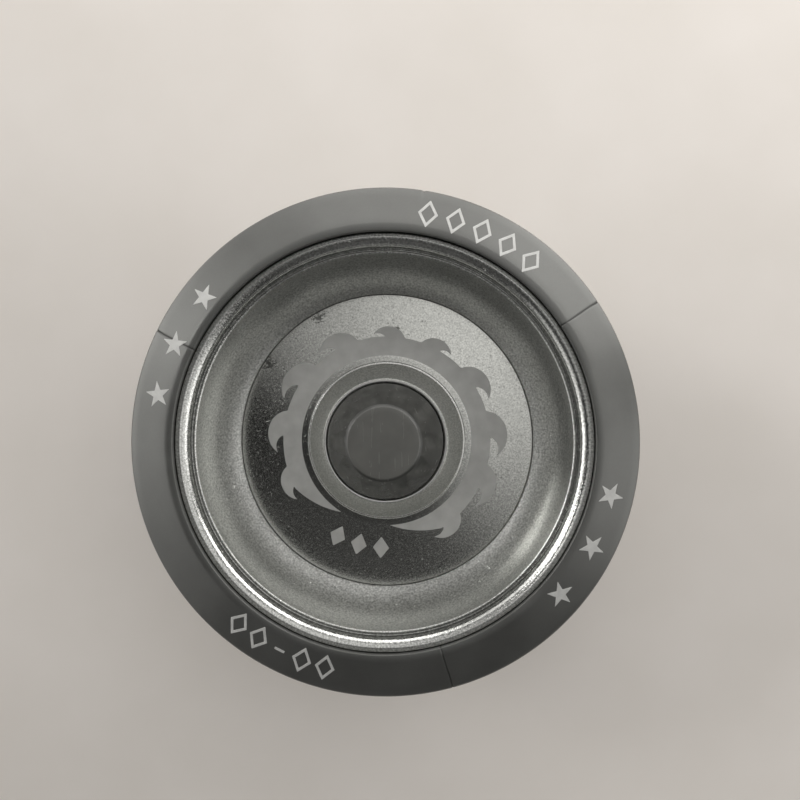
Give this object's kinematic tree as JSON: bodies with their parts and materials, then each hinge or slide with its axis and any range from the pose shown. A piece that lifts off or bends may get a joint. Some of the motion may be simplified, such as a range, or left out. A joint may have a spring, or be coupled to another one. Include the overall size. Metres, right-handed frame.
{
  "type": "yo yo",
  "caption": "Butterfly ball-bearing yo-yo: two flared plastic halves with metal weight rings, printed face plates and fluted hub caps on a threaded axle.",
  "frame": {"origin": "centre of the string gap, on the axle", "axes": "+Z along the axle, towards the upper half; the yo-yo lies on the rim of its lower half"},
  "size_m": [0.057, 0.057, 0.042],
  "materials": {
    "shell_plastic": "satin",
    "ring_metal": "satin",
    "plate_metal": "satin",
    "cap_plastic": "gloss",
    "nut_steel": "satin",
    "spacer_metal": "satin",
    "pad_silicone": "matte",
    "shield_steel": "satin",
    "spring_steel": "satin",
    "axle_steel": "satin",
    "bearing_steel": "polished",
    "cage_brass": "satin"
  },
  "bodies": {
    "lower_half": {"lower_body_shell": "shell_plastic", "lower_weight_ring": "ring_metal", "lower_face_plate": "plate_metal", "lower_hub_cap": "cap_plastic", "lower_axle_nut": "nut_steel", "lower_bearing_spacer": "spacer_metal", "lower_response_pad": "pad_silicone", "axle": "axle_steel", "bearing_inner_race": "bearing_steel"},
    "upper_half": {"upper_body_shell": "shell_plastic", "upper_weight_ring": "ring_metal", "upper_face_plate": "plate_metal", "upper_hub_cap": "cap_plastic", "upper_axle_nut": "nut_steel", "upper_bearing_spacer": "spacer_metal", "upper_response_pad": "pad_silicone"},
    "outer_race": {"bearing_outer_race": "bearing_steel", "upper_bearing_shield": "shield_steel", "lower_bearing_shield": "shield_steel", "upper_snap_ring": "spring_steel", "lower_snap_ring": "spring_steel"},
    "ball_set": {"bearing_balls": "bearing_steel", "ball_cage": "cage_brass"}
  },
  "joints": [
    {"name": "outer_race_spin", "type": "hinge", "parent": "lower_half", "child": "outer_race", "pos_m": [0, 0, 0], "axis": [0, 0, 1], "continuous": true},
    {"name": "ball_set_spin", "type": "hinge", "parent": "lower_half", "child": "ball_set", "pos_m": [0, 0, 0], "axis": [0, 0, 1], "continuous": true},
    {"name": "upper_half_unscrew", "type": "slide", "parent": "lower_half", "child": "upper_half", "axis": [0, 0, 1], "range_m": [0, 0.025]}
  ],
  "couplings": [
    {"joint": "ball_set_spin", "follows": "outer_race_spin", "ratio": 0.604}
  ]
}
